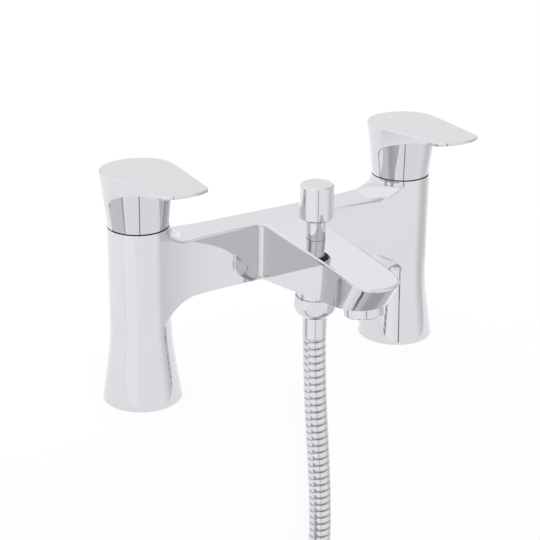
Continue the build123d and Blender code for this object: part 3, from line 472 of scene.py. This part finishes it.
for z, outwards in ((TAIL_LOW - THREAD_PITCH / 2, -1), (TAIL_TOP + THREAD_PITCH / 2, 1)):
    bpy.ops.mesh.select_all(action="SELECT")
    bpy.ops.mesh.bisect(plane_co=(0, 0, z), plane_no=(0, 0, outwards), use_fill=True, clear_outer=True)
bpy.ops.object.mode_set(mode="OBJECT")
face_outwards(thread)
pick(hot_tail)
cutting = hot_tail.modifiers.new("cutting", "BOOLEAN")
cutting.operation = "INTERSECT"
cutting.solver = "EXACT"
cutting.object = thread
bpy.ops.object.modifier_apply(modifier="cutting")
bpy.data.objects.remove(thread)
bpy.ops.object.shade_smooth_by_angle(angle=math.radians(35))
cold_tail = bpy.data.objects.new("cold_threaded_tail", hot_tail.data.copy())
cold_tail.data.transform(Matrix.Translation((2 * TAIL_X, 0, 0)))
scene.collection.objects.link(cold_tail)

# Free-cutting brass as it leaves the lathe: yellow, with fine rings from the tool 0.2 mm apart, and duller and
# brown in patches 11 mm wide where it has begun to tarnish.
brass, tree, shader, place = new_finish("turned_brass", "#C9A765", 1.0, 0.28)
stain = add_node(tree, "ShaderNodeTexNoise", {"Vector": place, "Scale": 90.0, "Detail": 5.0, "Roughness": 0.6})
tarnish = add_node(tree, "ShaderNodeValToRGB", {"Fac": stain.outputs["Fac"]})
set_ramp(tarnish, [(0.3, linear("#CFAE6E")), (0.55, linear("#C4A05E")), (0.8, linear("#9A7440"))])
tree.links.new(tarnish.outputs["Color"], shader.inputs["Base Color"])
dull = add_node(tree, "ShaderNodeMapRange", {"Value": stain.outputs["Fac"], "To Min": 0.2, "To Max": 0.42})
tree.links.new(dull.outputs["Result"], shader.inputs["Roughness"])
rings = add_node(
    tree, "ShaderNodeTexWave", {"Vector": place, "Scale": 1600.0, "Distortion": 1.5, "Detail": 2.0},
    wave_type="BANDS", bands_direction="Z",
)
marks = add_node(tree, "ShaderNodeBump", {"Height": rings.outputs["Fac"], "Distance": 0.00002, "Strength": 0.5})
tree.links.new(marks.outputs["Normal"], shader.inputs["Normal"])
for tail, plain in ((hot_tail, "hot_inlet_tail"), (cold_tail, "cold_inlet_tail")):
    tail.data.materials.append(brass)
    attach(tail, "mixer")
    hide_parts(plain)


# Valves: brass headworks with hexagon shoulders, backnuts below the deck, splined inserts in the levers, and the
# diverter's piston. All are turned and milled from the same brass.
brass_parts = [
    "hot_headwork", "cold_headwork", "hot_backnut", "cold_backnut", "hot_spline_insert", "cold_spline_insert",
    "hot_spindle", "cold_spindle", "diverter_piston",
]
paint(brass_parts, brass)


# Washers below the deck: red vulcanised fibre, punched from sheet and laid under the flanges. It is pressed
# paper, so it is matt, and mottled every 2 mm or so.
fibre, tree, shader, place = new_finish("red_vulcanised_fibre", "#8A3527", 0.0, 0.7)
paper = add_node(tree, "ShaderNodeTexNoise", {"Vector": place, "Scale": 420.0, "Detail": 6.0, "Roughness": 0.7})
mottle = add_node(tree, "ShaderNodeValToRGB", {"Fac": paper.outputs["Fac"]})
set_ramp(mottle, [(0.3, linear("#6E261B")), (0.55, linear("#8A3527")), (0.78, linear("#A8503C"))])
tree.links.new(mottle.outputs["Color"], shader.inputs["Base Color"])
nap = add_node(tree, "ShaderNodeBump", {"Height": paper.outputs["Fac"], "Distance": 0.00008, "Strength": 0.6})
tree.links.new(nap.outputs["Normal"], shader.inputs["Normal"])
paint(["hot_tail_washer", "cold_tail_washer"], fibre)


# Discs: two in each valve, of alumina ceramic, pressed, fired and lapped flat so that they seal on each other.
# They are cream white with a dull sheen and a faint speckle 0.4 mm apart.
ceramic, tree, shader, place = new_finish("lapped_alumina", "#E8E4DA", 0.0, 0.18)
speckle = add_node(tree, "ShaderNodeTexVoronoi", {"Vector": place, "Scale": 2400.0})
fired = add_node(tree, "ShaderNodeValToRGB", {"Fac": speckle.outputs["Distance"]})
set_ramp(fired, [(0.0, linear("#D8D3C6")), (0.25, linear("#E8E4DA"))])
tree.links.new(fired.outputs["Color"], shader.inputs["Base Color"])
paint(["hot_turning_disc", "cold_turning_disc", "hot_fixed_disc", "cold_fixed_disc"], ceramic)


# Steel pieces: the diverter's rod, the spindles' clips and the grub screws, made from drawn stainless bar and
# wire. The die leaves fine lines 0.4 mm apart along the drawing.
steel, tree, shader, place = new_finish("drawn_stainless_steel", "#B9BABC", 1.0, 0.2)
stretched = add_node(tree, "ShaderNodeMapping", {"Vector": place, "Scale": (2600.0, 2600.0, 90.0)})
lines = add_node(tree, "ShaderNodeTexNoise", {"Vector": stretched.outputs["Vector"], "Scale": 1.0, "Detail": 3.0})
lined = add_node(tree, "ShaderNodeMapRange", {"Value": lines.outputs["Fac"], "To Min": 0.1, "To Max": 0.26})
tree.links.new(lined.outputs["Result"], shader.inputs["Roughness"])
score = add_node(tree, "ShaderNodeBump", {"Height": lines.outputs["Fac"], "Distance": 0.000006, "Strength": 0.6})
tree.links.new(score.outputs["Normal"], shader.inputs["Normal"])
paint(["diverter_rod", "hot_spindle_clip", "cold_spindle_clip", "hot_grub_screw", "cold_grub_screw"], steel)


# Return spring: stainless wire wound in five open turns round the diverter's rod, between the piston and the
# guide's foot.
SPRING_RADIUS = 0.0046
SPRING_WIRE = 0.00045
SPRING_TURNS = 5
SPRING_LOW = 0.07755
SPRING_HIGH = 0.0910
SPRING_STEPS = 3

points = [(SPRING_RADIUS, HOSE_Y, SPRING_LOW)]
spring_pitch = (SPRING_HIGH - SPRING_LOW) / SPRING_TURNS
corner_radius = SPRING_RADIUS / math.cos(math.pi / TURN_POINTS)
for i in range(SPRING_TURNS * TURN_POINTS):
    turns = (i + 0.5) / TURN_POINTS
    x = corner_radius * math.cos(math.tau * turns)
    y = corner_radius * math.sin(math.tau * turns)
    points.append((x, HOSE_Y + y, SPRING_LOW + spring_pitch * turns))
points.append((SPRING_RADIUS, HOSE_Y, SPRING_HIGH))
wire = smooth_curve("return_spring", points, SPRING_STEPS)
wire.bevel_depth = SPRING_WIRE
wire.bevel_resolution = 2
wire.use_fill_caps = True
spring = bpy.data.objects.new("return_spring", wire)
scene.collection.objects.link(spring)
pick(spring)
bpy.ops.object.convert(target="MESH")
spring = bpy.context.object
bpy.ops.object.mode_set(mode="EDIT")
bpy.ops.mesh.select_all(action="SELECT")
bpy.ops.mesh.remove_doubles(threshold=SAME_POINT)
bpy.ops.object.mode_set(mode="OBJECT")
face_outwards(spring)
bpy.ops.object.shade_smooth_by_angle(angle=math.radians(50))
spring.data.materials.append(steel)
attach(spring, "mixer")
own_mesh(spring)
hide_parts("diverter_spring")


# Coil ties: two bands of clear polythene film round the coil's turns, welded where they meet. The film is
# creased every 4 mm or so, and cloudy where it is stretched.
film, tree, shader, place = new_finish("clear_polythene_film", "#D9DCE0", 0.0, 0.22)
shader.inputs["Transmission Weight"].default_value = 0.55
crease = add_node(tree, "ShaderNodeTexNoise", {"Vector": place, "Scale": 260.0, "Detail": 3.0})
fold = add_node(tree, "ShaderNodeBump", {"Height": crease.outputs["Fac"], "Distance": 0.0003, "Strength": 0.7})
tree.links.new(fold.outputs["Normal"], shader.inputs["Normal"])
cloudy = add_node(tree, "ShaderNodeMapRange", {"Value": crease.outputs["Fac"], "To Min": 0.12, "To Max": 0.45})
tree.links.new(cloudy.outputs["Result"], shader.inputs["Roughness"])
paint(["lower_coil_tie", "upper_coil_tie"], film)


# Deck: the flat rim of a white bath, with its front drop just ahead of the columns. The camera sees it white,
# with the mixer's soft shadow. Mirrors see it pale round the mixer, and see the light panels further out.
DECK_REACH = 3.0
DECK_EDGE = -0.032
DECK_DROP = -1.0
DECK_SEEN = 0.9
DECK_UNMIRRORED = 0.8
DECK_NEAR = 0.19
DECK_FAR = 0.23
DECK_NEAR_LEVEL = 1.18

deselect()
bpy.ops.mesh.primitive_plane_add(size=2 * DECK_REACH, location=(0, DECK_EDGE + DECK_REACH, 0))
deck = bpy.context.object
deck.name = "bath_deck"
bpy.ops.object.transform_apply(location=True, rotation=True, scale=True)
bpy.ops.object.mode_set(mode="EDIT")
bpy.ops.mesh.select_mode(type="EDGE")
bpy.ops.mesh.select_all(action="DESELECT")
form = bmesh.from_edit_mesh(deck.data)
for edge in form.edges:
    edge.select_set(all(v.co.y < DECK_EDGE + SAME_PLACE for v in edge.verts))
bmesh.update_edit_mesh(deck.data)
bpy.ops.mesh.extrude_region_move(TRANSFORM_OT_translate={"value": (0, 0, DECK_DROP)})
bpy.ops.object.mode_set(mode="OBJECT")


def stage_finish(name):
    """A material for the studio, with its node tree, its surface still to be linked, and the kind of ray."""
    material = bpy.data.materials.new(name)
    material.use_nodes = True
    tree = material.node_tree
    tree.nodes.remove(tree.nodes["Principled BSDF"])
    surface = tree.nodes["Material Output"].inputs["Surface"]
    return material, tree, surface, add_node(tree, "ShaderNodeLightPath")


enamel, tree, surface, ray = stage_finish("white_bath_enamel")
coat = add_node(tree, "ShaderNodeBsdfDiffuse", {"Color": linear("#FAFAFA")})
seen = add_node(tree, "ShaderNodeEmission", {"Color": (1, 1, 1, 1), "Strength": 1.0})
below = add_node(tree, "ShaderNodeBsdfTransparent")
pale = add_node(tree, "ShaderNodeEmission", {"Color": (1, 1, 1, 1), "Strength": DECK_NEAR_LEVEL})
place = add_node(tree, "ShaderNodeTexCoord").outputs["Object"]
away = add_node(tree, "ShaderNodeVectorMath", {0: place}, operation="LENGTH")
outer = add_node(tree, "ShaderNodeMapRange", {
    "Value": away.outputs["Value"], "From Min": DECK_NEAR, "From Max": DECK_FAR,
})
lit = add_node(tree, "ShaderNodeMixShader", {
    "Fac": outer.outputs["Result"], 1: pale.outputs["Emission"], 2: below.outputs["BSDF"],
})
to_camera = add_node(tree, "ShaderNodeMixShader", {
    "Fac": DECK_SEEN, 1: coat.outputs["BSDF"], 2: seen.outputs["Emission"],
})
to_mirror = add_node(tree, "ShaderNodeMixShader", {
    "Fac": DECK_UNMIRRORED, 1: coat.outputs["BSDF"], 2: lit.outputs["Shader"],
})
unseen = add_node(tree, "ShaderNodeMixShader", {
    "Fac": ray.outputs["Is Glossy Ray"], 1: coat.outputs["BSDF"], 2: to_mirror.outputs["Shader"],
})
rim = add_node(tree, "ShaderNodeMixShader", {
    "Fac": ray.outputs["Is Camera Ray"], 1: unseen.outputs["Shader"], 2: to_camera.outputs["Shader"],
})
tree.links.new(rim.outputs["Shader"], surface)
deck.data.materials.append(enamel)


# Studio: a room of large white light panels, dimmer to the right, with dark gaps between them, over a ring of
# stands and a grey floor. Levels go by degrees round the object, 0 in front and 90 to the right, and each lower
# ring takes over between two heights in degrees. The rise is by height alone, from -90 below to 90 above.
PANEL_LIGHT = (
    (-180, 1.22), (-45, 1.22), (-40, 1.17), (-30, 1.14), (-24.0, 1.14), (-23.5, 0.07), (-21.0, 0.07), (-20.5, 1.14),
    (35, 1.14), (46, 1.06), (60, 0.86), (72, 0.8), (90, 0.8), (108, 1.0), (130, 1.16), (180, 1.22),
)
STAND_LIGHT = (
    (-180, 1.14), (-137, 1.16), (-134, 0.79), (-86, 0.76), (-84.5, 0.45), (-80.5, 0.45), (-78, 1.12), (-24, 1.08),
    (-23, 0.08), (-21, 0.08), (-20, 1.06), (45, 1.08), (58, 1.0), (75, 0.87), (100, 0.83), (125, 1.0), (180, 1.14),
)
FLOOR_LIGHT = (
    (-180, 1.08), (-101, 1.06), (-99.5, 0.06), (-92, 0.06), (-90.5, 0.76), (-62, 0.72), (-45, 0.55), (0, 0.52),
    (93, 0.52), (102, 0.62), (112, 0.68), (133, 0.72), (150, 0.95), (180, 1.08),
)
RISE_LIGHT = (
    (-90, 1.0), (-30, 0.98), (-20, 1.0), (4, 0.98), (11, 0.88), (16, 0.89), (20, 0.92), (27, 1.02), (90, 1.04),
)
STAND_CHANGE = (-25.0, -28.0)
FLOOR_CHANGE = (-43.0, -47.0)
TOP_LEVEL = 1.3

world = bpy.data.worlds.new("photo_studio")
scene.world = world
world.use_nodes = True
tree = world.node_tree
back = tree.nodes["Background"]
way = add_node(tree, "ShaderNodeTexCoord").outputs["Generated"]
axes = add_node(tree, "ShaderNodeSeparateXYZ", {"Vector": way})
ahead = add_node(tree, "ShaderNodeMath", {0: axes.outputs["Y"], 1: -1.0}, operation="MULTIPLY")
bearing = add_node(tree, "ShaderNodeMath", {0: axes.outputs["X"], 1: ahead.outputs["Value"]}, operation="ARCTAN2")
round_share = add_node(tree, "ShaderNodeMapRange", {
    "Value": bearing.outputs["Value"], "From Min": -math.pi, "From Max": math.pi,
})
height = add_node(tree, "ShaderNodeMath", {0: axes.outputs["Z"]}, operation="ARCSINE")
ring_lights = []
for levels in (PANEL_LIGHT, STAND_LIGHT, FLOOR_LIGHT):
    ring = add_node(tree, "ShaderNodeValToRGB", {"Fac": round_share.outputs["Result"]})
    set_ramp(ring, [((degrees + 180) / 360, level / TOP_LEVEL) for degrees, level in levels])
    ring_lights.append(ring.outputs["Color"])
light = ring_lights[0]
for lower, (high, low) in zip(ring_lights[1:], (STAND_CHANGE, FLOOR_CHANGE)):
    share = add_node(tree, "ShaderNodeMapRange", {
        "Value": height.outputs["Value"], "From Min": math.radians(high), "From Max": math.radians(low),
    })
    mixed = add_node(tree, "ShaderNodeMix", {0: share.outputs["Result"], 6: light, 7: lower}, data_type="RGBA")
    light = mixed.outputs[2]
rise_share = add_node(tree, "ShaderNodeMapRange", {
    "Value": height.outputs["Value"], "From Min": -math.pi / 2, "From Max": math.pi / 2,
})
rise = add_node(tree, "ShaderNodeValToRGB", {"Fac": rise_share.outputs["Result"]})
set_ramp(rise, [((degrees + 90) / 180, level) for degrees, level in RISE_LIGHT])
room = add_node(
    tree, "ShaderNodeMix", {0: 1.0, 6: light, 7: rise.outputs["Color"]}, data_type="RGBA", blend_type="MULTIPLY",
)
tree.links.new(room.outputs[2], back.inputs["Color"])
back.inputs["Strength"].default_value = TOP_LEVEL
ray = add_node(tree, "ShaderNodeLightPath")
plain = add_node(tree, "ShaderNodeBackground", {"Color": (1, 1, 1, 1), "Strength": 1.0})
choice = add_node(tree, "ShaderNodeMixShader", {
    "Fac": ray.outputs["Is Camera Ray"], 1: back.outputs["Background"], 2: plain.outputs["Background"],
})
tree.links.new(choice.outputs["Shader"], tree.nodes["World Output"].inputs["Surface"])


# Reflector card: a white card on a stand a metre ahead of the left column, which hides the dark gap between two
# panels from that column alone. The camera looks past it.
CARD_FROM = (-0.0985, -0.0175)
CARD_BEARING = math.radians(-22.3)
CARD_DISTANCE = 1.0
CARD_HALF_WIDTH = 0.055
CARD_LOW = -0.46
CARD_HIGH = 0.03
CARD_LEVEL = 1.14

deselect()
bpy.ops.mesh.primitive_plane_add(size=1, rotation=(math.pi / 2, 0, CARD_BEARING), location=(
    CARD_FROM[0] + CARD_DISTANCE * math.sin(CARD_BEARING),
    CARD_FROM[1] - CARD_DISTANCE * math.cos(CARD_BEARING),
    (CARD_LOW + CARD_HIGH) / 2,
))
card = bpy.context.object
card.name = "reflector_card"
card.scale = (2 * CARD_HALF_WIDTH, CARD_HIGH - CARD_LOW, 1)
bpy.ops.object.transform_apply(location=True, rotation=True, scale=True)
white_card, tree, surface, ray = stage_finish("white_reflector_card")
lit = add_node(tree, "ShaderNodeEmission", {"Color": (1, 1, 1, 1), "Strength": CARD_LEVEL})
clear = add_node(tree, "ShaderNodeBsdfTransparent")
shown = add_node(tree, "ShaderNodeMixShader", {
    "Fac": ray.outputs["Is Glossy Ray"], 1: clear.outputs["BSDF"], 2: lit.outputs["Emission"],
})
tree.links.new(shown.outputs["Shader"], surface)
card.data.materials.append(white_card)
